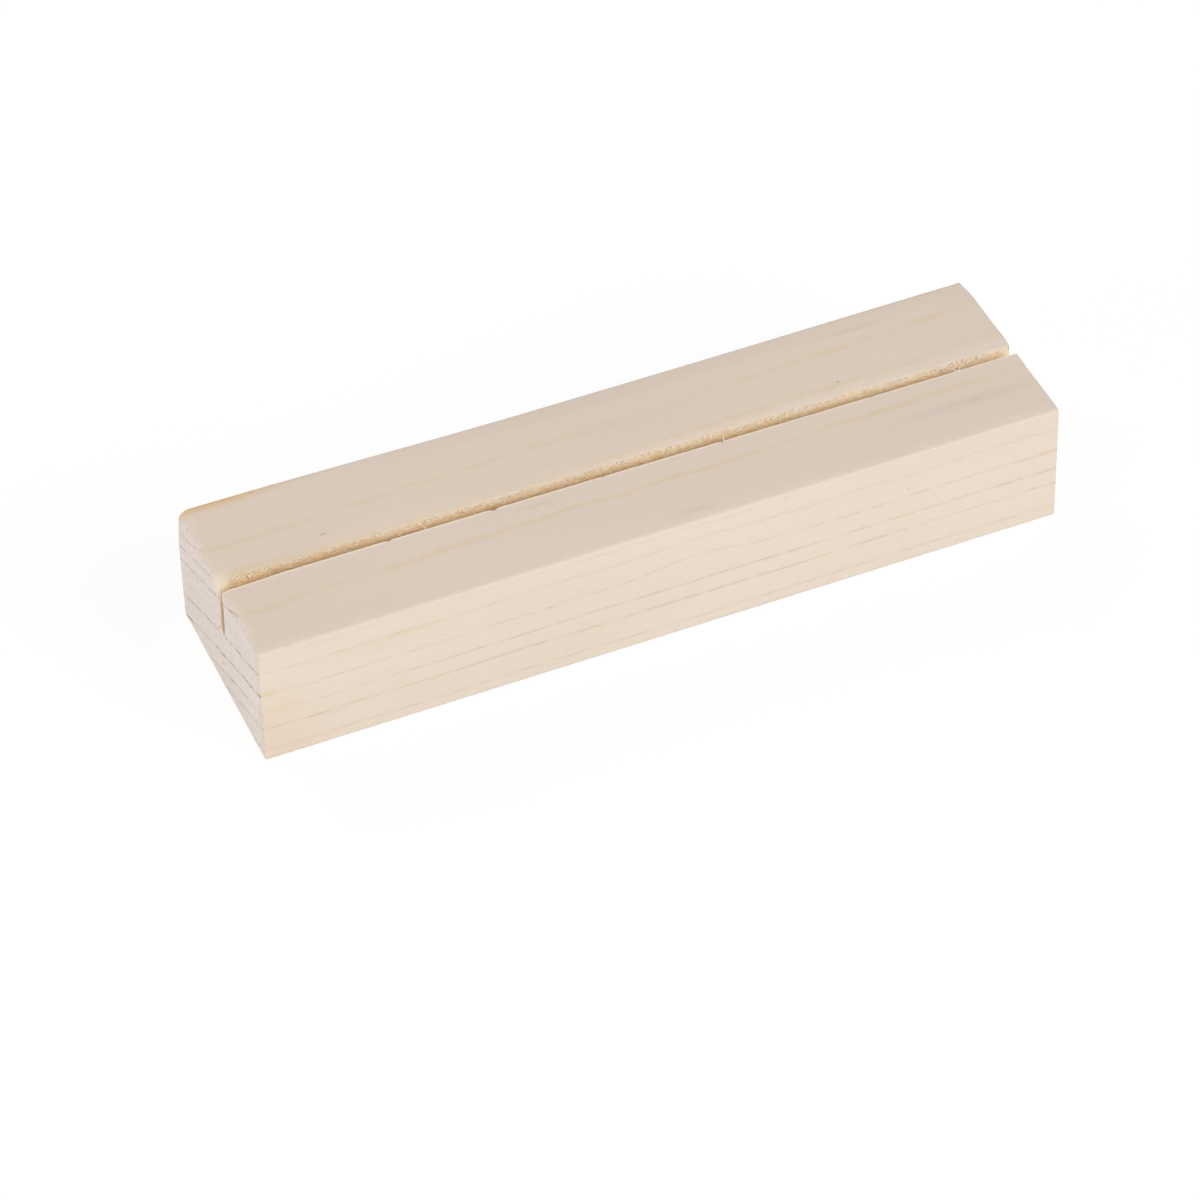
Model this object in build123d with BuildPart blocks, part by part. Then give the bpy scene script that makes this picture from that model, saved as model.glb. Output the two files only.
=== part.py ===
from build123d import *
from math import cos, radians, sin, tan
import os

# Photo block holder: one stick of pale softwood with a saw slot along its top that holds a card upright.
# X runs along the length, Y from the square front to the rounded back, Z up from the surface it stands on.
# Millimetres and degrees.

# The stick
block_length = 100.0
block_depth = 27.0
block_height = 16.5
back_top_round = 1.9
edge_ease = 0.5

# The slot, sawn from end to end and leaning so that a card tips towards the front
front_cheek = 11.5
slot_width = 1.6
slot_depth = 7.4
slot_lean = 5.0
slot_root_round = 0.25
back_lip_round = 0.45
front_lip_round = 0.15

# The stick's faces
front_face = -block_depth / 2
back_face = block_depth / 2

# The slot's corners, as distances from front to back and heights
lean = radians(slot_lean)
mouth_front = front_face + front_cheek
mouth_back = mouth_front + slot_width / cos(lean)
floor_front = (mouth_front + slot_depth * tan(lean), block_height - slot_depth)
floor_back = (floor_front[0] + slot_width * cos(lean), floor_front[1] + slot_width * sin(lean))

# The cut reaches past the round of each lip, and clear of the top face
cut_front = mouth_front - 2 * front_lip_round
cut_back = mouth_back + 2 * back_lip_round
cut_top = block_height + slot_depth

os.makedirs("parts", exist_ok=True)

with BuildPart() as slotted_block:
    # The section has one generous round, along the back top edge
    with BuildSketch(Plane.YZ):
        with BuildLine():
            FilletPolyline(
                (front_face, 0),
                (back_face, 0),
                (back_face, block_height),
                (front_face, block_height),
                radius=[0, 0, back_top_round, 0],
                close=True,
            )
        make_face()
    extrude(amount=block_length / 2, both=True)

    # Every other outer edge is only sanded off
    long_edges = slotted_block.edges().filter_by(Axis.X)
    front_top_edge = long_edges.group_by(Axis.Y)[0].sort_by(Axis.Z)[-1]
    foot_edges = long_edges.group_by(Axis.Z)[0]
    end_edges = slotted_block.faces().filter_by(Axis.X).edges()
    fillet([front_top_edge, *foot_edges, *end_edges], radius=edge_ease)

    # The slot is cut last, out through both ends, and its lips round over onto the top face
    with BuildSketch(Plane.YZ):
        with BuildLine():
            FilletPolyline(
                floor_front,
                floor_back,
                (mouth_back, block_height),
                (cut_back, block_height),
                (cut_back, cut_top),
                (cut_front, cut_top),
                (cut_front, block_height),
                (mouth_front, block_height),
                radius=[slot_root_round, slot_root_round, back_lip_round, 0, 0, 0, 0, front_lip_round],
                close=True,
            )
        make_face()
    extrude(amount=block_length, both=True, mode=Mode.SUBTRACT)

slotted_block.part.label = "slotted_block"
export_step(slotted_block.part, "parts/slotted_block.step")
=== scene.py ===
# %% [markdown]
# # A photo block holder of bare softwood
# The real object is one stick of pale spruce or pine, 10 cm long, with a saw slot along its top that
# holds a card upright. The CAD model gives its size and its plain shape. This lesson adds what the CAD
# leaves out: the eased and slightly worn edges, the torn lips of the saw cut, the loose fibres in it, and
# the look of the wood.

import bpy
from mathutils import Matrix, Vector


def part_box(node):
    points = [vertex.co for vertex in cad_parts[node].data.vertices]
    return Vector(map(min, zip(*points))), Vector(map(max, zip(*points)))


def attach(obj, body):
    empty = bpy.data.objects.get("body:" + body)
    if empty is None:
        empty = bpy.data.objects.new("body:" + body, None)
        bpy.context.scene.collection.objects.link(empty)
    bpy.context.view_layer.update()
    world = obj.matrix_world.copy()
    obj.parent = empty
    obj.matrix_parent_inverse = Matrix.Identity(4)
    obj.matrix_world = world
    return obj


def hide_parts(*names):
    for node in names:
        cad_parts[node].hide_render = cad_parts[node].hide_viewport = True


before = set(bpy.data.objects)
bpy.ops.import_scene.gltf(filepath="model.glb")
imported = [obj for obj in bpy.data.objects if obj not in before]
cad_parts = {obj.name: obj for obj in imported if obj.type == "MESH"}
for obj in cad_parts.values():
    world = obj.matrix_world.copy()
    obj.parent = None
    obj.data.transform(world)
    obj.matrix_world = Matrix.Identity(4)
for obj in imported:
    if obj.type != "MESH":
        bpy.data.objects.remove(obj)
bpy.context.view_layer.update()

# %% [markdown]
# ## The camera
# The photograph was taken with a long lens from the front left, 43 degrees above the table. A camera can
# be set by eye, but a block has straight edges that can be measured, so its spot, aim and lens come from
# a fit to those edges. It is turned to look at the aim point, and then rolled a little.

# %% Place the camera
import bpy
from math import radians
from mathutils import Quaternion, Vector

camera_spot = Vector((-0.17023, -0.41577, 0.41227))
camera_aim = Vector((-0.00827, -0.01292, 0.00827))
camera_roll = radians(-1.85)
lens_length = 155.2
sensor_width = 36.0

lens = bpy.data.cameras.new("photo_lens")
lens.lens = lens_length
lens.sensor_width = sensor_width
camera = bpy.data.objects.new("photo_camera", lens)
camera.location = camera_spot
camera.rotation_mode = "QUATERNION"
look_at_block = (camera_aim - camera_spot).to_track_quat("-Z", "Y")
camera.rotation_quaternion = look_at_block @ Quaternion((0.0, 0.0, 1.0), camera_roll)
scene = bpy.context.scene
scene.collection.objects.link(camera)
scene.camera = camera
scene.view_settings.view_transform = "Standard"
print("camera to aim point, in metres:", round((camera_aim - camera_spot).length, 3))

# %% [markdown]
# ## The studio
# The world, the floor and the wood are all made of shader nodes. In the editor a node is added, its menus
# are set and its sockets are linked or filled in by hand. From Python those are the same few moves every
# time, so small helpers make them.

# %% Write helpers for shader nodes
def add_node(tree, kind, label, sources=None, **choices):
    """Add a shader node, set its menus, and link each socket to its source or fill in a value."""
    node = tree.nodes.new("ShaderNode" + kind)
    node.label = label
    for name, choice in choices.items():
        setattr(node, name, choice)
    for name, source in (sources or {}).items():
        socket = node.inputs[name]
        if isinstance(source, bpy.types.NodeSocket):
            tree.links.new(source, socket)
        else:
            socket.default_value = source
    return node


def calculate(tree, label, operation, first, second=0.0, third=0.0):
    """Add a Math node and return its result."""
    sources = {0: first, 1: second, 2: third}
    return add_node(tree, "Math", label, sources, operation=operation).outputs["Value"]


def combine(tree, label, operation, first, second=(0.0, 0.0, 0.0)):
    """Add a Vector Math node and return its result, a number for a dot product or a length."""
    node = add_node(tree, "VectorMath", label, {0: first, 1: second}, operation=operation)
    return node.outputs["Value"] if operation in ("DOT_PRODUCT", "LENGTH") else node.outputs["Vector"]


def mix_shaders(tree, label, amount, first, second):
    """Add a Mix Shader node, which gives the first shader at 0 and the second at 1."""
    return add_node(tree, "MixShader", label, {0: amount, 1: first, 2: second}).outputs["Shader"]


# %% [markdown]
# The block was photographed on plain white. The world gives even light from all round, and shows as white
# where the camera looks past the floor. One strength can't do both, because a world that looks white
# would wash out the wood. Light Path tells the two kinds of ray apart, so a white background costs no
# extra light.

# %% Make the white world
white = (1.0, 1.0, 1.0, 1.0)
room_light = 0.2
backdrop_light = 1.0


def seen_directly(tree):
    """Return 1 for rays that show the backdrop itself, and 0 for rays that carry its light."""
    path = add_node(tree, "LightPath", "kind of ray")
    seen = path.outputs["Is Camera Ray"]
    for other_ray in ("Is Glossy Ray", "Is Transmission Ray"):
        seen = calculate(tree, "seen directly", "MAXIMUM", seen, path.outputs[other_ray])
    return seen


world = bpy.data.worlds.new("white_room")
world.use_nodes = True
scene.world = world
room = world.node_tree
room.nodes.clear()
room_glow = add_node(room, "Background", "light on the block",
                     {"Strength": room_light, "Color": white})
room_white = add_node(room, "Background", "white backdrop",
                      {"Strength": backdrop_light, "Color": white})
room_choice = mix_shaders(room, "backdrop or light", seen_directly(room),
                          room_glow.outputs["Background"], room_white.outputs["Background"])
add_node(room, "OutputWorld", "world", {"Surface": room_choice})
print("world lights the block at", room_light)

# %% [markdown]
# The floor is a round sheet of white card. A plane would do, but a circle has no corner that could show
# in a turned view. It lies a hair below the block, so that the two faces don't flicker.

# %% Lay the floor
import bmesh

floor_radius = 0.7
floor_sides = 96
floor_drop = 0.00005

floor_shape = bmesh.new()
bmesh.ops.create_circle(floor_shape, cap_ends=True, segments=floor_sides, radius=floor_radius)
bmesh.ops.translate(floor_shape, verts=floor_shape.verts, vec=(0.0, 0.0, -floor_drop))
floor_mesh = bpy.data.meshes.new("white_floor")
floor_shape.to_mesh(floor_mesh)
floor_shape.free()
floor = bpy.data.objects.new("white_floor", floor_mesh)
scene.collection.objects.link(floor)
print("floor radius in metres:", floor_radius)

# %% [markdown]
# Near the block the floor is part matt card, which takes the block's soft shadow, and part glow, which
# brings it up to white. Further out it is all glow, so it runs into the white world with no edge.

# %% Mix the card that is seen
card_grey = 0.15
near_light = 0.88
far_light = 1.0
shadow_reach = 0.16
shadow_end = 0.30


def bare_material(name):
    """Make a material with an empty node tree."""
    material = bpy.data.materials.new(name)
    material.use_nodes = True
    material.node_tree.nodes.clear()
    return material


white_card = bare_material("white_card")
card = white_card.node_tree
floor_spot = add_node(card, "TexCoord", "place on the floor")
from_block = combine(card, "distance from the block", "LENGTH", floor_spot.outputs["Object"])
outward = add_node(card, "MapRange", "from shadow to plain white",
                   {"Value": from_block, "From Min": shadow_reach, "From Max": shadow_end},
                   interpolation_type="SMOOTHSTEP")

matt_card = add_node(card, "BsdfDiffuse", "card that takes the shadow",
                     {"Color": (card_grey, card_grey, card_grey, 1.0)})
near_glow = add_node(card, "Emission", "glow near the block", {"Strength": near_light})
near_card = add_node(card, "AddShader", "card near the block",
                     {0: matt_card.outputs["BSDF"], 1: near_glow.outputs["Emission"]})
far_glow = add_node(card, "Emission", "plain white", {"Strength": far_light})
seen_card = mix_shaders(card, "card as it is seen", outward.outputs["Result"],
                        near_card.outputs["Shader"], far_glow.outputs["Emission"])
print("the shadow fades out from", shadow_reach, "to", shadow_end, "m")

# %% [markdown]
# The glow is only for the eye. If it also lit the block, it would wash out the lower part of its sides.
# So every other ray meets plain white card. Seen from below the floor is clear, so the underside of the
# block can be looked at too.

# %% Let the floor light the block as plain card
bounce = 0.8

bounce_card = add_node(card, "BsdfDiffuse", "card as it lights the block",
                       {"Color": (bounce, bounce, bounce, 1.0)})
upper_side = mix_shaders(card, "seen or lighting", seen_directly(card),
                         bounce_card.outputs["BSDF"], seen_card)
which_side = add_node(card, "NewGeometry", "which side")
clear = add_node(card, "BsdfTransparent", "clear from below")
two_sides = mix_shaders(card, "top or underside", which_side.outputs["Backfacing"],
                        upper_side, clear.outputs["BSDF"])
add_node(card, "OutputMaterial", "floor", {"Surface": two_sides})
floor_mesh.materials.append(white_card)
print("floor nodes:", len(card.nodes))

# %% [markdown]
# In the photograph the front of the block is its brightest face, its left end comes next and its top is
# the darkest, but the rounded back edge is as light as the top and the saw cut is well lit. One lamp
# can't do all that. A high soft box in front shines into the slot, a low one fills the front, one on the
# left lights the end, and one behind rims the back edge. They are large, which keeps shadows soft.

# %% Set up the soft boxes
def hang_soft_box(name, spot, width, height, watts):
    """Make a broad area lamp that faces the middle of the block."""
    lamp = bpy.data.lights.new(name, "AREA")
    lamp.shape = "RECTANGLE"
    lamp.size = width
    lamp.size_y = height
    lamp.energy = watts
    soft_box = bpy.data.objects.new(name, lamp)
    soft_box.location = spot
    soft_box.rotation_mode = "QUATERNION"
    soft_box.rotation_quaternion = (-Vector(spot)).to_track_quat("-Z", "Y")
    scene.collection.objects.link(soft_box)
    print(name, "gives", watts, "watts from", round(Vector(spot).length, 2), "m")


hang_soft_box("high_front_box", spot=(0.40, -0.58, 0.50), width=0.5, height=0.5, watts=3.95)
hang_soft_box("low_front_box", spot=(0.40, -0.74, 0.22), width=0.6, height=0.3, watts=1.4)
hang_soft_box("left_box", spot=(-0.79, -0.26, 0.18), width=0.5, height=0.3, watts=3.05)
hang_soft_box("back_box", spot=(-0.20, 0.62, 0.55), width=0.9, height=0.5, watts=3.62)

# %% [markdown]
# ## The block
# The stick is a plain section run out along its length, so that is how it is drawn: eight corners, slot
# included, made into one face and extruded. The sizes come from the CAD box, and the slot repeats the CAD
# model's own values. The work is done in millimetres, which are easier to think in, and the last step
# scales the mesh to metres.

# %% Draw the section and run it out
from math import cos, sin, tan

MM = 0.001
block_low, block_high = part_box("slotted_block")
half_length = block_high.x / MM
half_depth = block_high.y / MM
height = block_high.z / MM
front_cheek = 11.5
slot_width = 1.6
slot_depth = 7.4
slot_lean = radians(5.0)

mouth_front = front_cheek - half_depth
mouth_back = mouth_front + slot_width / cos(slot_lean)
floor_height = height - slot_depth
floor_front = mouth_front + slot_depth * tan(slot_lean)
floor_back = floor_front + slot_width * cos(slot_lean)
section = {
    "front foot": (-half_depth, 0.0),
    "back foot": (half_depth, 0.0),
    "back top": (half_depth, height),
    "back lip": (mouth_back, height),
    "floor back": (floor_back, floor_height + slot_width * sin(slot_lean)),
    "floor front": (floor_front, floor_height),
    "front lip": (mouth_front, height),
    "front top": (-half_depth, height),
}

block = bmesh.new()
left_end = block.faces.new([block.verts.new((-half_length, y, z)) for y, z in section.values()])
run_out = bmesh.ops.extrude_face_region(block, geom=[left_end])
right_corners = [part for part in run_out["geom"] if isinstance(part, bmesh.types.BMVert)]
bmesh.ops.translate(block, verts=right_corners, vec=(2.0 * half_length, 0.0, 0.0))
bmesh.ops.recalc_face_normals(block, faces=block.faces)
print("block in millimetres:", [round(size / MM, 2) for size in block_high - block_low])
print("plain block:", len(block.verts), "corners and", len(block.faces), "faces")

# %% [markdown]
# Each long edge of the real block has its own softness. The back top edge was rounded over by hand or by
# a cutter, the others were only touched with sandpaper, and the saw left the front lip of the slot almost
# sharp. A bevel with several segments and a profile of 0.5 is an arc, so each edge gets its own bevel.

# %% Round the long edges
# Each edge has a radius in millimetres and a number of segments.
edge_rounds = {
    "front foot": (0.3, 4),
    "back foot": (0.4, 4),
    "back top": (1.35, 10),
    "back lip": (0.5, 5),
    "floor back": (0.45, 4),
    "floor front": (0.45, 4),
    "front lip": (0.14, 3),
    "front top": (0.38, 5),
}
touching = 0.001


def find_long_edge(y, z):
    """Return the edge that runs from end to end at one corner of the section."""
    for edge in block.edges:
        one, other = edge.verts
        runs_along = abs(one.co.x - other.co.x) > half_length
        if runs_along and abs(one.co.y - y) < touching and abs(one.co.z - z) < touching:
            return edge


for corner, (radius, steps) in edge_rounds.items():
    bmesh.ops.bevel(block, geom=[find_long_edge(*section[corner])], offset=radius, offset_type="OFFSET",
                    affect="EDGES", segments=steps, profile=0.5, material=-1)
print("after rounding:", len(block.faces), "faces")

# %% [markdown]
# A bevel leaves its faces in an order that changes from run to run, and the cuts below would follow it.
# So the same faces are drawn again in a fixed order, each from the lower of its first and third corner,
# which keeps the diagonal that it is split along.

# %% Draw the rounded faces again in a fixed order
block.verts.index_update()
rounded_spots = [point.co.copy() for point in block.verts]
outlines = [[point.index for point in face.verts] for face in block.faces]
block.clear()
corners = [block.verts.new(spot) for spot in rounded_spots]
for outline in sorted(min(outline, outline[2:] + outline[:2]) for outline in outlines):
    block.faces.new([corners[place] for place in outline])
block.normal_update()
print("faces drawn again:", len(block.faces))

# %% [markdown]
# Saws and sandpaper treat each part of the block in their own way, so the script has to know where a
# point is. The slot leans, so its middle moves back with depth, and the gap to it is measured from there.

# %% Find the way on the section
slot_half = slot_width / cos(slot_lean) / 2.0
wall_slack = 0.03
looks_along = 0.5


def from_slot_middle(spot):
    """Return how far a place is behind the middle of the slot, below 0 in front of it."""
    return spot.y - mouth_front - slot_half - (height - spot.z) * tan(slot_lean)


def slot_gap(spot):
    """Return how far a place is from the slot, 0 on its walls and between them."""
    if spot.z < floor_height - touching:
        return half_depth
    return max(0.0, abs(from_slot_middle(spot)) - slot_half)


def is_end(face):
    """Say whether a face closes one end of the block."""
    return abs(face.normal.x) > looks_along


def is_side(face):
    """Say whether a face runs along the block."""
    return not is_end(face)


def is_slot_wall(face):
    """Say whether a face is part of the slot."""
    return is_side(face) and all(slot_gap(point.co) < wall_slack for point in face.verts)


print("faces at the ends:", sum(1 for face in block.faces if is_end(face)))

# %% [markdown]
# A flat face with a corner at each end has nothing to bend. Cuts square to each axis lay a grid of points
# over the whole block, closer together beside the rounded edges, where they also keep the flat faces flat
# in the shading. Beside the slot the cuts lean as it does. Each end of the block gets a few very thin
# slices. The length is cut finest, because the torn edge of the slot changes every fraction of a
# millimetre.

# %% Choose where to cut
def even_steps(start, stop, count):
    """Return evenly spaced places from start to stop, both included."""
    return [start + (stop - start) * step / count for step in range(count + 1)]


axis_x = Vector((1.0, 0.0, 0.0))
axis_y = Vector((0.0, 1.0, 0.0))
axis_z = Vector((0.0, 0.0, 1.0))
out_of_slot = Vector((0.0, cos(slot_lean), sin(slot_lean)))
front_wall_place = out_of_slot.dot(Vector((0.0, mouth_front, height)))
back_wall_place = out_of_slot.dot(Vector((0.0, mouth_back, height)))
slot_margins = (0.3, 0.6)
end_slices = (0.02, 0.07, 0.15, 0.26, 0.42, 0.7)

front_cheek_cuts = even_steps(0.6 - half_depth, mouth_front - 0.35, 10)
back_cheek_cuts = even_steps(mouth_back + 0.85, half_depth - 2.1, 10)
cuts_beside_edges = [mouth_front - 0.5, mouth_front - 0.2, half_depth - 0.65]
cuts_up_the_sides = [0.75, *even_steps(1.6, height - 1.6, 11), height - 0.65]
cuts_down_the_slot = even_steps(floor_height + 0.5, height - 0.7, 17)
front_end_cuts = even_steps(1.1 - half_depth, mouth_front - 0.8, 9)
back_end_cuts = even_steps(mouth_back + 1.4, half_depth - 2.2, 9)
cuts_up_the_ends = even_steps(1.1, height - 2.2, 13)
cuts_under_the_slot = [floor_height - margin for margin in slot_margins]
cuts_before_the_slot = [front_wall_place - margin for margin in slot_margins]
cuts_behind_the_slot = [back_wall_place + margin for margin in slot_margins]
slice_places = [side * (half_length - depth) for depth in end_slices for side in (-1.0, 1.0)]
print("thin slices at each end:", len(end_slices))

# %% Cut the faces into a grid
length_cuts = 470


def cut_across(axis, places, chosen):
    """Cut the chosen faces by a plane square to an axis at each place."""
    for place in places:
        faces = [face for face in block.faces if chosen(face)]
        edges = {edge for face in faces for edge in face.edges}
        points = {point for face in faces for point in face.verts}
        bmesh.ops.bisect_plane(block, geom=[*points, *edges, *faces], dist=touching,
                               plane_co=axis * place, plane_no=axis)


cut_across(axis_y, front_cheek_cuts, is_side)
cut_across(axis_y, back_cheek_cuts, is_side)
cut_across(axis_y, cuts_beside_edges, is_side)
cut_across(axis_z, cuts_up_the_sides, is_side)
cut_across(axis_z, cuts_down_the_slot, is_slot_wall)
cut_across(axis_y, front_end_cuts, is_end)
cut_across(axis_y, back_end_cuts, is_end)
cut_across(axis_z, cuts_up_the_ends, is_end)
cut_across(axis_z, cuts_under_the_slot, is_end)
cut_across(out_of_slot, cuts_before_the_slot, is_end)
cut_across(out_of_slot, cuts_behind_the_slot, is_end)
cut_across(axis_x, slice_places, is_side)
middle_runs = [edge for edge in block.edges if edge.calc_length() > half_length]
bmesh.ops.subdivide_edges(block, edges=middle_runs, cuts=length_cuts, use_grid_fill=True)
print("after cutting:", len(block.verts), "points and", len(block.faces), "faces")

# %% [markdown]
# Work by hand and by saw is never even, and it has no hard limits. So every change to the block from here
# on is made of the same parts: a smooth rise or fade over some distance, and noise from mathutils, which
# is random but the same in every run.

# %% Write helpers for uneven work
from math import sqrt
from mathutils import noise

noise_gain = 0.6


def rise(value, start, stop):
    """Go smoothly from 0 at start to 1 at stop."""
    share = min(1.0, max(0.0, (value - start) / (stop - start)))
    return share * share * (3.0 - 2.0 * share)


def fade(value, start, stop):
    """Go smoothly from 1 at start to 0 at stop."""
    return 1.0 - rise(value, start, stop)


def unevenness(spot, pitch, seed):
    """Return a smooth random number from 0 to 1 that changes over pitch, a length along each axis."""
    place = Vector((spot.x / pitch[0] + seed, spot.y / pitch[1], spot.z / pitch[2]))
    return min(1.0, max(0.0, 0.5 + noise_gain * noise.noise(place)))


def edge_gap(spot, corner):
    """Return how far a point is from a long edge of the section, measured across the block."""
    y, z = section[corner]
    return sqrt((spot.y - y) ** 2 + (spot.z - z) ** 2)


# %% [markdown]
# The ends were sawn to length and sanded, so their edges are eased as well: a touch all round, more along
# the top of the left end, and most at its back corner, where the ease also reaches further along the
# block. It fades out towards the slot, which sandpaper doesn't reach, but where the blade left the cut on
# the left it tore the edge of the back wall. A bevel would have to run through the tight arcs of the
# slot's lips, where it folds over itself. The thin slices do the same work: each is drawn in a little
# more, like steps of an arc.

# %% Ease the two ends
end_ease = 0.28
left_top_ease = 1.15
left_back_ease = 1.25
left_front_ease = 0.34
slot_end_ease = 0.06
torn_end_ease = 0.2
left_back_stretch = 0.6
least_sanded = 0.75
faces_along = 0.2


def ease_at(spot):
    """Return the radius of the eased end beside one point of the section."""
    ease = end_ease
    in_slot = slot_end_ease
    if spot.x < 0.0:
        ease += (left_top_ease - end_ease) * rise(spot.z, height - 2.5, height - 0.5)
        ease += (left_back_ease - ease) * fade(edge_gap(spot, "back top"), 0.9, 6.0)
        ease += (left_front_ease - ease) * fade(edge_gap(spot, "front top"), 0.4, 3.0)
        in_slot = torn_end_ease if from_slot_middle(spot) > 0.5 * slot_half else slot_end_ease
    ease *= least_sanded + (1.0 - least_sanded) * unevenness(spot, pitch=(30.0, 4.0, 4.0), seed=3.0)
    return in_slot + (ease - in_slot) * rise(slot_gap(spot), 0.1, 4.0)


def ease_stretch(spot):
    """Return how many times longer than deep the eased end is, most at the left back corner."""
    if spot.x > 0.0:
        return 1.0
    return 1.0 + left_back_stretch * fade(edge_gap(spot, "back top"), 0.9, 5.0)


block.normal_update()
for point in block.verts:
    ease = ease_at(point.co)
    reach = ease * ease_stretch(point.co)
    depth = half_length - abs(point.co.x)
    across = Vector((0.0, point.normal.y, point.normal.z))
    if depth < reach and across.length > faces_along:
        drawn_in = ease * (1.0 - sqrt(1.0 - (1.0 - depth / reach) ** 2))
        point.co -= across.normalized() * drawn_in
print("ends eased by", end_ease, "to", left_back_ease, "mm")

# %% [markdown]
# Handling and sanding leave a block that is not quite straight. The back edge is worn lower along its
# middle, the left end leans in a little towards the top, and the front edge has small chips. A Displace
# modifier could do this with textures, but here each mark has a known place. All of them only take wood
# away, so the block stays inside its CAD box.

# %% Wear the edges
back_edge_wear = 0.44
spared_share = 0.35
front_edge_sanding = 0.05
left_end_lean = 0.12
lean_reach = 8.0
# Each chip has a place along the block, a reach to either side and a depth, in millimetres.
front_chips = ((-45.7, 0.6, 0.2), (-44.6, 0.4, 0.12), (-31.0, 0.6, 0.07), (-12.5, 0.5, 0.06),
               (5.5, 0.7, 0.08), (19.0, 0.5, 0.06), (33.0, 0.6, 0.08), (44.6, 0.8, 0.16))


def chipped_away(x, chips):
    """Return how deep the chips of an edge are at one place along it."""
    return sum(depth * fade(abs(x - middle), 0.0, reach) for middle, reach, depth in chips)


def front_edge_wear(x):
    """Return how much wood is missing from the front top edge at one place along it."""
    place = Vector((x, 0.0, 0.0))
    wear = front_edge_sanding * unevenness(place, pitch=(0.9, 1.0, 1.0), seed=5.0)
    wear += front_edge_sanding * unevenness(place, pitch=(5.0, 1.0, 1.0), seed=8.0)
    return wear + chipped_away(x, front_chips)


def back_edge_profile(x):
    """Return how much lower the back edge is worn at one place along it, from nothing on the left."""
    towards_right = rise(x, -0.95 * half_length, -0.1 * half_length)
    spared_end = spared_share * rise(x, 0.2 * half_length, half_length)
    return back_edge_wear * (towards_right - spared_end)


block.normal_update()
for point in block.verts:
    spot = point.co.copy()
    wear = back_edge_profile(spot.x) * fade(edge_gap(spot, "back top"), 0.5, 4.0)
    wear += front_edge_wear(spot.x) * fade(edge_gap(spot, "front top"), 0.25, 0.75)
    point.co -= point.normal * wear
    point.co.x += left_end_lean * rise(-spot.x, half_length - lean_reach, half_length) * spot.z / height
print("chips along the front edge:", len(front_chips))

# %% [markdown]
# The blade wandered by a few tenths of a millimetre, so the two walls of the slot are not quite straight.
# Just inside the left end the front wall swings back, and from there it comes forward all the way to the
# right. The cut is narrower at both ends than in the middle, and its left end is wider low down. The next
# step moves the points.

# %% Let the blade wander
swing_back = 0.22
swing_forward = 0.40
swing_turn = -0.84 * half_length
left_opening = 0.15
low_left_opening = 0.3
left_narrowing = 0.65
right_narrowing = 0.28


def front_wall_drift(spot):
    """Return how far the blade left the front wall out of its line."""
    drift = swing_back * rise(spot.x, -0.97 * half_length, swing_turn)
    drift -= swing_forward * rise(spot.x, swing_turn, half_length)
    at_left_end = fade(spot.x, -half_length, 1.4 - half_length)
    return drift - at_left_end * (left_opening + low_left_opening * rise(height - spot.z, 0.3, 3.0))


def back_wall_drift(spot):
    """Return how far the blade left the back wall out of its line."""
    at_left_end = fade(spot.x, -half_length, 2.5 - half_length)
    return -left_narrowing * at_left_end - right_narrowing * rise(spot.x, 0.1 * half_length, half_length)


print("the front wall swings", swing_back, "mm back and then", swing_forward, "mm forward")

# %% [markdown]
# A saw tears the fibres of softwood as it leaves the cut. The back lip of the slot is ragged and fuzzy,
# the front lip is crisp with a few nicks, and the walls are rough. Bump in the material would leave the
# lips straight, so the points themselves are moved into the wood, by noise that changes quickly along the
# block. The places before the move are kept, because the next step needs them too.

# %% Tear the lips of the slot
back_lip_tear = 0.2
back_lip_sag = 0.18
front_lip_tear = 0.05
wall_roughness = 0.06
# Each nick has the same three numbers as a chip.
lip_nicks = ((-29.5, 0.5, 0.14), (-16.6, 0.7, 0.18), (-3.0, 0.4, 0.08),
             (12.0, 0.5, 0.12), (31.0, 0.4, 0.08))


def tearing(spot):
    """Return how badly the fibres are torn at one place, as coarse tears with fine ones among them."""
    coarse = unevenness(spot, pitch=(0.9, 3.0, 3.0), seed=11.0)
    fine = unevenness(spot, pitch=(0.35, 0.5, 0.5), seed=17.0)
    return 0.6 * coarse + 0.4 * fine


def in_cut(spot):
    """Return 1 on the walls of the slot, and 0 away from them and on the top face."""
    return fade(slot_gap(spot), 0.02, 0.1) * rise(height - spot.z, 0.05, 0.55)


untorn_spots = [point.co.copy() for point in block.verts]
block.normal_update()
for point, spot in zip(block.verts, untorn_spots):
    torn = tearing(spot)
    sagging = unevenness(spot, pitch=(9.0, 20.0, 20.0), seed=23.0)
    ragged = back_lip_tear * torn + back_lip_sag * sagging
    move = ragged * fade(edge_gap(spot, "back lip"), 0.3, 1.2)
    nicked = front_lip_tear * torn + chipped_away(spot.x, lip_nicks)
    move += nicked * fade(edge_gap(spot, "front lip"), 0.1, 0.45)
    rough = unevenness(spot, pitch=(0.45, 0.6, 0.8), seed=29.0)
    move += wall_roughness * in_cut(spot) * rough
    point.co -= point.normal * move
    drift = front_wall_drift(spot) if from_slot_middle(spot) < 0.0 else back_wall_drift(spot)
    point.co.y += fade(slot_gap(spot), 0.15, 0.9) * drift
print("nicks in the front lip:", len(lip_nicks))
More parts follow.
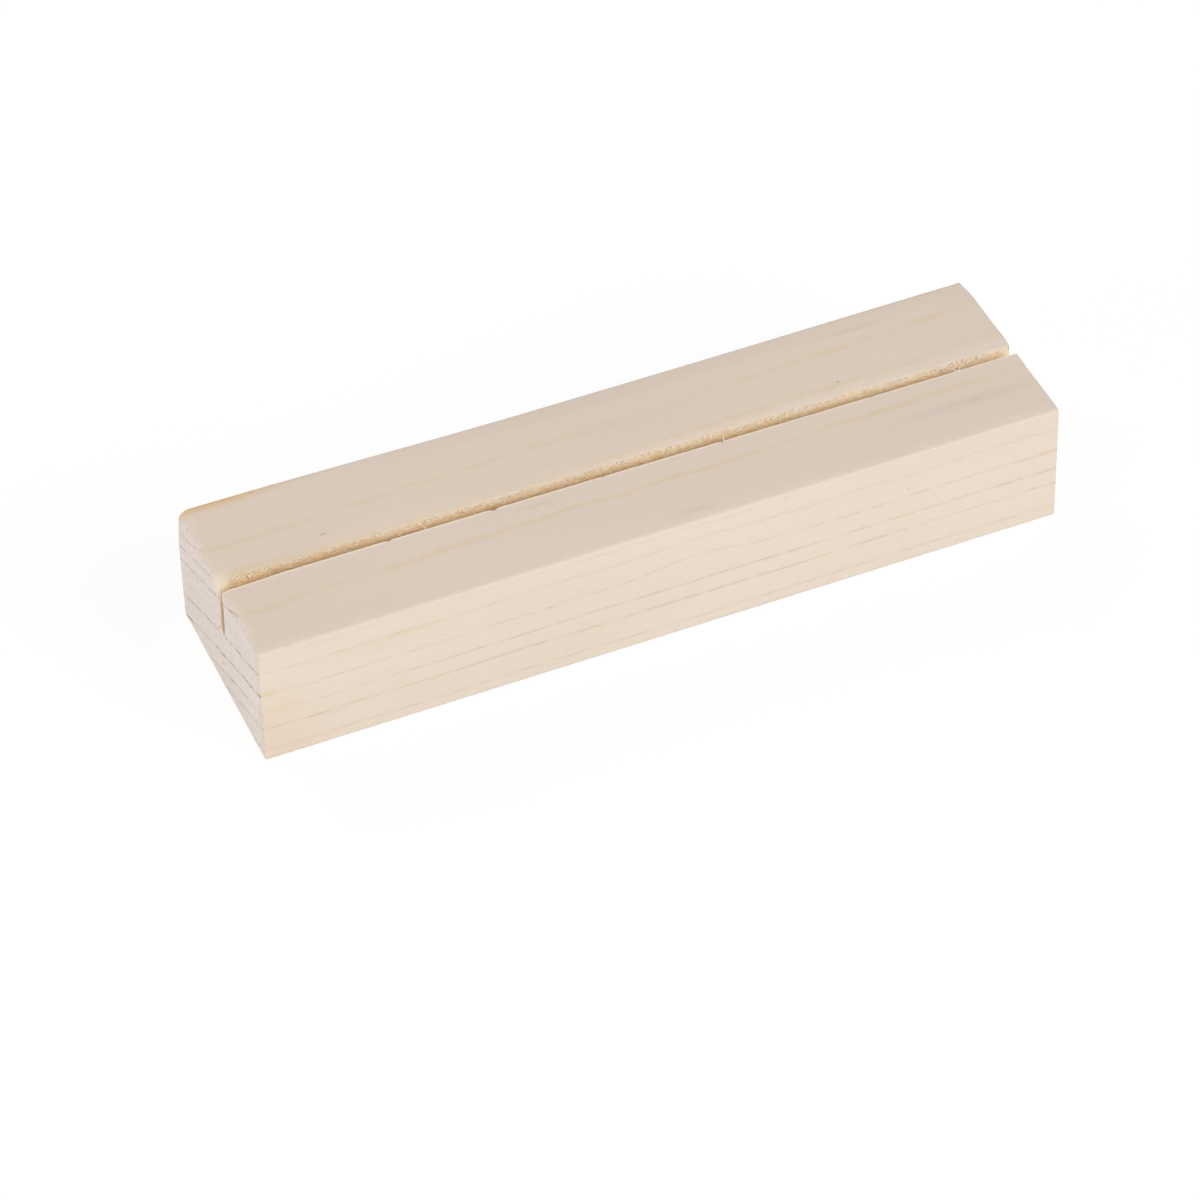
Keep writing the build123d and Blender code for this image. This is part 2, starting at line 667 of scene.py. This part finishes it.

# %% [markdown]
# The material has to tell the sawn wood from the sanded wood. A second material on some faces would give
# a hard edge, so two attributes on the points hold soft amounts. The first marks the walls of the slot
# and a stain on the back lip, which is wider and stronger towards the left. The second marks wood that
# was torn open, the crisp front lip and the chips of the front edge, and on the front lip it also paints
# a highlight along the edge.

# %% Mark the sawn faces and the raw edges
stain_strength = 0.45
stain_paling = 0.7
left_stain_strength = 0.3
stain_width = 0.85
torn_stain_width = 0.4
left_stain_width = 1.1
lip_raw_and_highlight = 0.65
torn_lip_raw_and_highlight = 0.35
chip_rawness = 0.4

saw_cut = block.verts.layers.float.new("saw_cut")
raw_edge_and_lip_highlight = block.verts.layers.float.new("raw_edge_and_lip_highlight")
for point, spot in zip(block.verts, untorn_spots):
    torn = tearing(spot)
    paling = 1.0 - stain_paling * rise(spot.x, -0.4 * half_length, 0.9 * half_length)
    near_left = fade(spot.x, -0.95 * half_length, -0.5 * half_length)
    stain_reach = stain_width + torn_stain_width * torn + left_stain_width * near_left
    lip_stain = stain_strength * paling + left_stain_strength * near_left
    lip_stain *= fade(edge_gap(spot, "back lip"), 0.25, stain_reach)
    point[saw_cut] = max(in_cut(spot), lip_stain)
    # The pale line of the front lip is partly raw wood and partly a painted highlight along its edge.
    fresh_lip_and_highlight = lip_raw_and_highlight + torn_lip_raw_and_highlight * torn
    fresh_lip_and_highlight *= fade(edge_gap(spot, "front lip"), 0.22, 0.42)
    fresh_chip = chip_rawness * rise(chipped_away(spot.x, front_chips), 0.05, 0.2)
    fresh_chip *= fade(edge_gap(spot, "front top"), 0.1, 0.4)
    point[raw_edge_and_lip_highlight] = max(fresh_lip_and_highlight, fresh_chip)
print("points on sawn faces:", sum(1 for point in block.verts if point[saw_cut] > 0.5))

# %% [markdown]
# A bmesh is only a drawing until it is put into a mesh object. Here it is scaled to metres, shaded smooth
# and linked to the scene at the origin. Two calls then say what it is: it rides on the part's one body,
# and it takes the place of the CAD node, which is hidden.

# %% Make the block an object
def to_object(shape, name):
    """Turn a bmesh in millimetres into a smooth mesh object in metres at the origin."""
    bmesh.ops.scale(shape, vec=(MM, MM, MM), verts=shape.verts)
    for face in shape.faces:
        face.smooth = True
    mesh = bpy.data.meshes.new(name)
    shape.to_mesh(mesh)
    shape.free()
    piece = bpy.data.objects.new(name, mesh)
    scene.collection.objects.link(piece)
    print(name, "has", len(mesh.vertices), "points and", len(mesh.polygons), "faces")
    return piece


wood_block = to_object(block, "wood_block")
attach(wood_block, "root")
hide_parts("slotted_block")

# %% [markdown]
# ## Loose fibres
# Close up, the saw cut is furred with torn fibres: pale slivers a fraction of a millimetre long that
# still hang on by one end. A particle system could scatter them, but the wall they sit on is so plain
# that a loop can place each one. They lie along the grain on the upper part of the back wall, closer
# together towards the left. A few longer splinters reach out from the front lip. Each is a slim cone with
# five sides, and a fixed seed gives the same fur every time.

# %% Grow the fibres on the back wall
from mathutils import Matrix
from random import Random

fibre_count = 800
fibre_sides = 5
fibre_lengths = (0.15, 0.6)
fibre_radii = (0.035, 0.08)
fibre_depths = (0.16, 2.4)
fibre_leans = (-0.6, 0.05)
steepest_fall = -0.8
steepest_climb = 0.3
tip_share = 0.25
crowding_up = 1.5
crowding_left = 1.25
bare_end = 1.2
root_inset = 0.06
root_drop = 0.05
depth_share = 0.8
climb_spared = 0.1
chance = Random(27)


def add_fibre(shape, root, direction, length, radius):
    """Grow one tapered sliver from its root along a direction."""
    turn = direction.to_track_quat("Z", "Y").to_matrix().to_4x4()
    place = Matrix.Translation(root + direction.normalized() * length / 2.0)
    bmesh.ops.create_cone(shape, cap_ends=True, segments=fibre_sides, radius1=radius,
                          radius2=radius * tip_share, depth=length, matrix=place @ turn)


fibres = bmesh.new()
fibre_raw = fibres.verts.layers.float.new("raw_edge_and_lip_highlight")
for fibre in range(fibre_count):
    depth = fibre_depths[0] + (fibre_depths[1] - fibre_depths[0]) * chance.random() ** crowding_up
    x = bare_end - half_length + (2.0 * half_length - 2.0 * bare_end) * chance.random() ** crowding_left
    root = Vector((x, mouth_back + depth * tan(slot_lean) + root_inset, height - depth - root_drop))
    root.y += back_wall_drift(root)
    way = chance.choice((-1.0, 1.0))
    length = chance.uniform(*fibre_lengths)
    # A fibre close to the top climbs less, so that its tip stays below the top face.
    climb = min(steepest_climb, depth_share * depth / length - climb_spared)
    direction = Vector((way, chance.uniform(*fibre_leans), chance.uniform(steepest_fall, climb)))
    add_fibre(fibres, root, direction, length, chance.uniform(*fibre_radii))
print("fibres:", fibre_count, "with", len(fibres.faces), "faces")

# %% Add the splinters and make the fibres an object
# Each splinter has a place along the block, a slant and a length.
splinters = ((-25.0, 0.2, 0.8), (12.2, 0.42, 1.2), (42.2, -0.3, 0.8), (42.4, 0.9, 0.8))
splinter_radius = 0.08
splinter_fall = -0.1
splinter_inset = 0.05
splinter_drop = 0.12

for x, slant, length in splinters:
    root = Vector((x, mouth_front - splinter_inset, height - splinter_drop))
    root.y += front_wall_drift(root)
    add_fibre(fibres, root, Vector((slant, 1.0, splinter_fall)), length, splinter_radius)
for point in fibres.verts:
    point[fibre_raw] = 1.0
slot_fibres = to_object(fibres, "slot_fibres")
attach(slot_fibres, "root")

# %% [markdown]
# ## The wood
# Softwood grows a pale band in spring and a thin darker one in summer. Flat sawn faces show those rings
# as lines, and how wide a line looks depends on how steeply the face cuts the ring. A picture on each
# face would not meet the next one at the edges. So the rings are made as layers through the whole solid,
# from Object coordinates, and every face shows its own slice of the same tree. First come the
# coordinates, in millimetres, and helpers for noise that is drawn out along the grain.

# %% Start the softwood material
softwood = bare_material("bare_softwood")
wood = softwood.node_tree
wood_place = add_node(wood, "TexCoord", "place in the wood")
wood_spot = combine(wood, "in millimetres", "DIVIDE", wood_place.outputs["Object"], (MM, MM, MM))
facing = combine(wood, "which way a face looks", "ABSOLUTE", wood_place.outputs["Normal"])


def grain_noise(label, pitch, detail=2.0):
    """Return noise from 0 to 1 that changes over pitch, a length in millimetres along each axis."""
    place = combine(wood, label, "DIVIDE", wood_spot, pitch)
    sources = {"Vector": place, "Scale": 1.0, "Detail": detail}
    return add_node(wood, "TexNoise", label, sources).outputs["Fac"]


def spread(label, value, low, high, out_low=0.0, out_high=1.0):
    """Map a value from one range to another, held at its ends."""
    sources = {"Value": value, "From Min": low, "From Max": high, "To Min": out_low, "To Max": out_high}
    return add_node(wood, "MapRange", label, sources).outputs["Result"]


def soft_spot(label, middle, reach):
    """Return 1 in the middle of a soft oval, falling to 0 at its reach along each axis."""
    away = combine(wood, label, "DIVIDE", combine(wood, label, "SUBTRACT", wood_spot, middle), reach)
    sources = {"Value": combine(wood, label, "LENGTH", away), "From Min": 1.0, "From Max": 0.0}
    return add_node(wood, "MapRange", label, sources, interpolation_type="SMOOTHSTEP").outputs["Result"]


print("softwood starts with", len(wood.nodes), "nodes")

# %% [markdown]
# In this block the rings are almost flat layers that slope up towards the front. They are cupped a
# little, because the trunk was round, twisted a little along the block, and swollen in two places. Each
# is one sum added to the height of a layer. Noise of four lengths then lets the layers wander.

# %% Lay the growth rings through the solid
ring_tilt = (-0.005, 0.37, 1.0)
ring_cup = 0.0022
ring_twist = -0.00025
swell_lift = -1.1
back_swell_lift = -0.4
# Each wandering has a length along the grain, a width across it and an amount, in millimetres.
wanderings = ((45.0, 11.0, 0.45), (9.0, 3.5, 0.5), (1.8, 0.9, 0.3), (0.6, 0.5, 0.14))

ring_axes = add_node(wood, "SeparateXYZ", "along, across and up", {"Vector": wood_spot})
along_block, across_block, up_block = ring_axes.outputs
from_left = calculate(wood, "from the left end", "ADD", along_block, half_length)
from_front = calculate(wood, "from the front", "ADD", across_block, half_depth)
across_squared = calculate(wood, "cup", "MULTIPLY", across_block, across_block)
twisted = calculate(wood, "twist", "MULTIPLY", from_left, from_front)
swell = soft_spot("swell on the front", (3.5, -half_depth, 11.2), (11.0, 10.0, 3.6))
back_swell = soft_spot("swell at the right", (half_length, 9.5, height), (32.0, 7.0, 9.0))

layer = combine(wood, "tilted layers", "DOT_PRODUCT", wood_spot, ring_tilt)
for label, bend, amount in (("cupped", across_squared, ring_cup), ("twisted", twisted, ring_twist),
                            ("swollen", swell, swell_lift), ("swollen", back_swell, back_swell_lift)):
    layer = calculate(wood, label + " layers", "MULTIPLY_ADD", bend, amount, layer)
for length, width, amount in wanderings:
    wander = grain_noise("wandering layers", (length, width, width))
    centred = calculate(wood, "wander both ways", "SUBTRACT", wander, 0.5)
    layer = calculate(wood, "wandering layers", "MULTIPLY_ADD", centred, amount, layer)
print("layers wander over lengths of", [length for length, width, amount in wanderings], "mm")

# %% [markdown]
# A Color Ramp takes the height of a layer and gives how dark it is there. A loop fills it, one ring at a
# time: each line rises to its own strength and falls back to nothing. A ring can be strong on a side and
# faint on an end, so it has two strengths. Red carries the one for the sides, green the one for the ends.

# %% Mark the growth rings on a ramp
lowest_layer = -7.0
highest_layer = 23.0
ring_rise = 0.2
ring_fall = 0.25
# Each ring has the height of its layer in millimetres, and its strengths on the sides and on the ends.
ring_years = ((-5.4, 0.6, 0.3), (-2.95, 0.66, 0.35), (0.42, 0.96, 0.5), (2.7, 0.94, 0.66),
              (5.55, 0.62, 1.0), (8.85, 0.54, 0.85), (11.1, 0.3, 0.2), (14.3, 0.75, 0.78),
              (16.5, 0.75, 0.6), (18.6, 0.7, 0.5))

layer_share = spread("layers on the ramp", layer, lowest_layer, highest_layer)
ring_ramp = add_node(wood, "ValToRGB", "growth lines", {"Fac": layer_share})
ramp_stops = ring_ramp.color_ramp.elements
ramp_stops[1].color = (0.0, 0.0, 0.0, 1.0)
for place, side_strength, end_strength in ring_years:
    for shift, share in ((-ring_rise, 0.0), (0.0, 1.0), (ring_fall, 0.0)):
        stop = ramp_stops.new((place + shift - lowest_layer) / (highest_layer - lowest_layer))
        stop.color = (share * side_strength, share * end_strength, 0.0, 1.0)
ring_colour = ring_ramp.outputs["Color"]
ring_strengths = add_node(wood, "SeparateColor", "sides and ends", {"Color": ring_colour})
print("growth rings:", len(ring_years))

# %% [markdown]
# The same rings look different on each face. On the end they are dark grey lines, cut square across the
# fibres. On the front they are thinner and brown, with yellow stretches, most of all at the left. On the
# top, which cuts them at a slant, they are soft yellow streaks. So the way that a face looks chooses the
# tint.

# %% Tint the growth rings
front_line = (0.80, 0.76, 0.70, 1.0)
yellow_line = (0.90, 0.86, 0.72, 1.0)
end_line = (0.45, 0.36, 0.30, 1.0)
top_line = (0.928, 0.917, 0.695, 1.0)


def layer_over(label, blend, amount, under, over):
    """Lay one colour over another and return the result."""
    # The Mix node has sockets for each kind of value. Those for colours are 6 and 7, and result 2.
    node = add_node(wood, "Mix", label, {0: amount, 6: under, 7: over},
                    data_type="RGBA", blend_type=blend)
    return node.outputs[2]


face_axes = add_node(wood, "SeparateXYZ", "end, front and top", {"Vector": facing})
facing_end, facing_front, facing_top = face_axes.outputs
end_share = spread("end grain", facing_end, 0.3, 0.9)
front_share = spread("front grain", facing_front, 0.4, 0.9)
top_share = spread("top grain", facing_top, 0.4, 0.9)
yellow_noise = grain_noise("yellow stretches", (7.0, 3.0, 3.0))
yellow_runs = spread("yellow stretches", yellow_noise, 0.52, 0.64)
yellow_left = spread("yellow at the left", along_block, 1.0 - half_length, 8.0 - half_length, 1.0, 0.0)
yellowing = calculate(wood, "yellow stretches", "MAXIMUM", yellow_runs, yellow_left)
line_tint = layer_over("yellow stretches", "MIX", yellowing, front_line, yellow_line)
line_tint = layer_over("lines on the end", "MIX", end_share, line_tint, end_line)
line_tint = layer_over("lines on the top", "MIX", top_share, line_tint, top_line)
print("softwood nodes so far:", len(wood.nodes))

# %% [markdown]
# A line drawn at one strength from end to end would look printed. Noise breaks the lines of the front and
# the ends up into short pieces, and the streaks on the top fade in and out over longer ones. The lines
# are then laid over the plain wood, which has its own colour on each face too.

# %% Break the lines up and lay them over the wood
top_wood = (0.786, 0.661, 0.561, 1.0)
front_wood = (0.782, 0.676, 0.579, 1.0)
end_wood = (0.755, 0.662, 0.610, 1.0)
least_line = 0.2
more_line_on_top = 0.35
faintest_streak = -0.55
strongest_streak = 0.25

on_side = ring_strengths.outputs["Red"]
on_end = ring_strengths.outputs["Green"]
end_change = calculate(wood, "end against side", "SUBTRACT", on_end, on_side)
ring_lines = calculate(wood, "lines of this face", "MULTIPLY_ADD", end_change, end_share, on_side)
least_left = calculate(wood, "less broken on the top", "MULTIPLY_ADD",
                       top_share, more_line_on_top, least_line)
break_noise = grain_noise("broken lines", (2.8, 1.5, 1.5), detail=3.0)
broken = spread("broken lines", break_noise, 0.38, 0.58, least_left, 1.0)
line_amount = calculate(wood, "broken lines", "MULTIPLY", ring_lines, broken)
fade_change = spread("fading streaks", yellow_noise, 0.38, 0.62, faintest_streak, strongest_streak)
fading = calculate(wood, "fading on the top only", "MULTIPLY_ADD", fade_change, top_share, 1.0)
line_amount = calculate(wood, "fading streaks", "MULTIPLY", line_amount, fading)
wood_colour = layer_over("front grain", "MIX", front_share, top_wood, front_wood)
wood_colour = layer_over("end grain", "MIX", end_share, wood_colour, end_wood)
wood_colour = layer_over("growth lines", "MULTIPLY", line_amount, wood_colour, line_tint)
print("softwood nodes so far:", len(wood.nodes))

# %% [markdown]
# Between the rings the wood is almost even. What the eye still sees is a fine streak along the fibres, a
# slow change of tone over a few centimetres, a faint drift to yellow, and short darker flecks where a
# resin duct was cut open. Each is noise drawn out along the grain by its own length. The end faces cut
# the fibres across, so they are mottled much more than the others.

# %% Add fibres, tone and flecks
streak_contrast = 0.012
tone_contrast = 0.018
mottle_contrast = 0.1
faint_yellow = (1.0, 0.995, 0.97, 1.0)
fleck_tint = (0.86, 0.80, 0.72, 1.0)
fleck_strength = 0.5

fibre_streaks = grain_noise("fibre streaks", (24.0, 0.32, 0.32), detail=3.0)
slow_tone = grain_noise("slow tone", (38.0, 9.0, 9.0))
fleck_noise = grain_noise("resin flecks", (1.7, 0.2, 0.2), detail=1.0)
mottle = grain_noise("mottled end grain", (2.0, 0.6, 0.45), detail=4.0)
yellow_drift = grain_noise("faint yellow", (10.0, 1.6, 1.6))

streak_light = spread("streak light", fibre_streaks, 0.3, 0.7,
                      1.0 - streak_contrast, 1.0 + streak_contrast)
tone_light = spread("tone light", slow_tone, 0.3, 0.7, 1.0 - tone_contrast, 1.0 + tone_contrast)
mottle_light = spread("mottled end grain", mottle, 0.3, 0.7, -mottle_contrast, mottle_contrast)
end_light = calculate(wood, "mottle on the ends only", "MULTIPLY_ADD",
                      mottle_light, end_share, streak_light)
wood_light = calculate(wood, "light and dark", "MULTIPLY", end_light, tone_light)
lit = add_node(wood, "VectorMath", "streaked wood", {0: wood_colour, "Scale": wood_light},
               operation="SCALE")
yellow_amount = spread("faint yellow", yellow_drift, 0.35, 0.65)
wood_colour = layer_over("faint yellow", "MULTIPLY", yellow_amount, lit.outputs["Vector"], faint_yellow)
fleck_amount = spread("resin flecks", fleck_noise, 0.68, 0.8, 0.0, fleck_strength)
wood_colour = layer_over("resin flecks", "MULTIPLY", fleck_amount, wood_colour, fleck_tint)
print("softwood nodes so far:", len(wood.nodes))

# %% [markdown]
# No two blocks have the same blemishes. This one has a streak of resin along the left part of its back
# edge, a warm corner at the front left, thin runs of resin on the front, a few grey smudges on its top,
# and some dark pin holes. They could be painted on, but a soft oval at its own place needs no picture, so
# they are laid over the wood one by one. The runs are broken up in the same way as the lines.

# %% Lay the blemishes over the wood
resin_tint = (0.97, 0.79, 0.50, 1.0)
warm_tint = (0.985, 0.955, 0.90, 1.0)
run_tint = (0.965, 0.945, 0.81, 1.0)
smudge_tint = (0.92, 0.93, 0.93, 1.0)
pin_tint = (0.70, 0.62, 0.56, 1.0)
front = -half_depth
top = height
left = -half_length
# Each blemish has a middle and a reach along each axis, in millimetres.
resin_streaks = (((-46.5, 12.8, 16.3), (15.0, 1.9, 1.7)),)
warm_corners = (((left, front, 3.0), (11.0, 2.0, 13.0)),)
resin_runs = (((-34.0, front, 13.1), (13.0, 1.5, 0.7)), ((left, front, 10.2), (6.0, 1.5, 0.6)),
              ((left, front, 7.7), (7.0, 1.5, 0.6)), ((47.5, front, 10.3), (4.0, 1.5, 0.6)),
              ((31.5, front, 7.8), (3.0, 1.5, 0.5)))
smudges = (((40.5, -7.7, top), (15.0, 1.25, 2.0)), ((4.0, -11.8, top), (5.0, 0.7, 2.0)),
           ((35.0, 9.8, top), (8.0, 0.6, 2.0)), ((-12.0, -3.5, top), (3.5, 0.6, 2.0)))
pin_holes = (((-36.0, 2.2, top), (0.7, 0.25, 0.4)), ((28.6, 1.8, top), (0.3, 0.25, 0.4)),
             ((-41.0, 12.3, 16.2), (0.35, 0.3, 0.5)), ((30.6, front, 11.2), (0.12, 0.4, 0.35)),
             ((left, 7.1, 10.8), (0.4, 0.45, 0.25)), ((left, -0.4, 4.0), (0.4, 0.45, 0.25)),
             ((left, -2.75, 2.9), (0.4, 0.5, 0.25)), ((left, -11.4, 3.7), (0.4, 0.3, 0.3)),
             ((left, -3.5, 14.2), (0.4, 0.35, 0.25)))


def lay_blemishes(colour, label, blemishes, tint, share=None):
    """Tint a colour in soft ovals, or in a share of them, and return the new colour."""
    for middle, reach in blemishes:
        amount = soft_spot(label, middle, reach)
        if share is not None:
            amount = calculate(wood, label, "MULTIPLY", amount, share)
        colour = layer_over(label, "MULTIPLY", amount, colour, tint)
    print(label + ":", len(blemishes))
    return colour


wood_colour = lay_blemishes(wood_colour, "resin streaks", resin_streaks, resin_tint)
wood_colour = lay_blemishes(wood_colour, "warm corners", warm_corners, warm_tint)
wood_colour = lay_blemishes(wood_colour, "resin runs", resin_runs, run_tint, share=broken)
wood_colour = lay_blemishes(wood_colour, "smudges", smudges, smudge_tint)
wood_colour = lay_blemishes(wood_colour, "pin holes", pin_holes, pin_tint)

# %% [markdown]
# The sawn walls of the slot are warmer than the sanded faces, because the blade scorched them a little,
# and their tones are set lighter than the wood, as painted light that fills the narrow slot. The
# attribute made with the mesh says where they are. A fine noise mixes a pale and a tan tone, with more of
# the pale one to the right as painted light. Three more tints follow the photograph: painted shade that
# is greyer just under the lips and darker near the left end, and pale torn fibres with painted light
# where the cut comes out of that end. The raw edges are the palest wood of all, and on the front lip they
# are partly a painted highlight.

# %% Scorch the sawn walls and paint their light and shade
# Both sawn tones are the scorched wood, set lighter than it is as painted light that fills the narrow
# slot.
sawn_pale = (0.97, 0.835, 0.648, 1.0)
sawn_tan = (0.92, 0.69, 0.42, 1.0)
# The tint under the lips is painted shade: the walls turn greyer and darker just below them.
lip_shade_tint = (0.815, 0.845, 0.905, 1.0)
# The tint near the left end is painted shade, where the walls get less light.
left_shade_tint = (0.96, 0.95, 0.90, 1.0)
# Where the cut leaves the left end it is paler: partly pale torn fibres, partly painted light that comes
# in at the open end.
cut_end_pale_and_lit = (1.0, 0.90, 0.75, 1.0)
# The raw wood colour also paints the highlight along the front lip.
raw_wood_and_highlight = (1.0, 0.865, 0.70, 1.0)
# The walls turn paler towards the right as painted light, because they are lit more there.
painted_light_to_the_right = 0.0018
most_cut_end_light = 0.7

sawn = add_node(wood, "Attribute", "sawn faces", attribute_name="saw_cut")
raw = add_node(wood, "Attribute", "raw edge", attribute_name="raw_edge_and_lip_highlight")
fur_noise = grain_noise("torn fibre ends", (0.7, 0.35, 0.35), detail=4.0)
tone_noise = calculate(wood, "painted light to the right", "MULTIPLY_ADD",
                       along_block, painted_light_to_the_right, fur_noise)
pale_share = spread("two tones", tone_noise, 0.36, 0.64)
lip_shade_amount = spread("painted shade near the lip", up_block, height - 1.3, height - 0.25)
left_shade_amount = spread("near the left end", along_block, -0.5 * half_length, -0.9 * half_length)
cut_end_light_amount = spread("painted light at the open end of the cut", along_block, 0.6 - half_length, 2.6 - half_length,
                  most_cut_end_light, 0.0)
sawn_colour = layer_over("two tones", "MIX", pale_share, sawn_tan, sawn_pale)
sawn_colour = layer_over("painted shade at the lip", "MULTIPLY", lip_shade_amount, sawn_colour, lip_shade_tint)
sawn_colour = layer_over("painted shade at the left end", "MULTIPLY", left_shade_amount, sawn_colour, left_shade_tint)
sawn_colour = layer_over("painted light at the open end of the cut", "MIX", cut_end_light_amount, sawn_colour, cut_end_pale_and_lit)
wood_colour = layer_over("sawn walls", "MIX", sawn.outputs["Fac"], wood_colour, sawn_colour)
wood_colour = layer_over("raw edge", "MIX", raw.outputs["Fac"], wood_colour, raw_wood_and_highlight)
print("softwood nodes so far:", len(wood.nodes))

# %% [markdown]
# Bare sanded softwood is matt, with a faint sheen along the fibres. The Principled shader gets that
# roughness from the streaks, and a Bump node raises the fibres and sinks the rings by a few hundredths of
# a millimetre. The sawn walls are rougher.

# %% Finish the softwood
fibre_relief = 0.6
ring_relief = -0.35
torn_relief = 2.5
relief_strength = 0.3
relief_depth = 0.00006
least_rough = 0.60
most_rough = 0.74
sheen = 0.25

relief = calculate(wood, "fibre relief", "MULTIPLY", fibre_streaks, fibre_relief)
relief = calculate(wood, "ring relief", "MULTIPLY_ADD", line_amount, ring_relief, relief)
fur_relief = calculate(wood, "torn relief", "MULTIPLY", fur_noise, sawn.outputs["Fac"])
relief = calculate(wood, "whole relief", "MULTIPLY_ADD", fur_relief, torn_relief, relief)
bump = add_node(wood, "Bump", "raised grain",
                {"Height": relief, "Strength": relief_strength, "Distance": relief_depth})

roughness = spread("matt", fibre_streaks, 0.3, 0.7, least_rough, most_rough)
wood_shader = add_node(wood, "BsdfPrincipled", "bare softwood",
                       {"Base Color": wood_colour, "Roughness": roughness,
                        "Specular IOR Level": sheen, "Normal": bump.outputs["Normal"]})
add_node(wood, "OutputMaterial", "wood", {"Surface": wood_shader.outputs["BSDF"]})
wood_block.data.materials.append(softwood)
slot_fibres.data.materials.append(softwood)
print("softwood nodes:", len(wood.nodes))
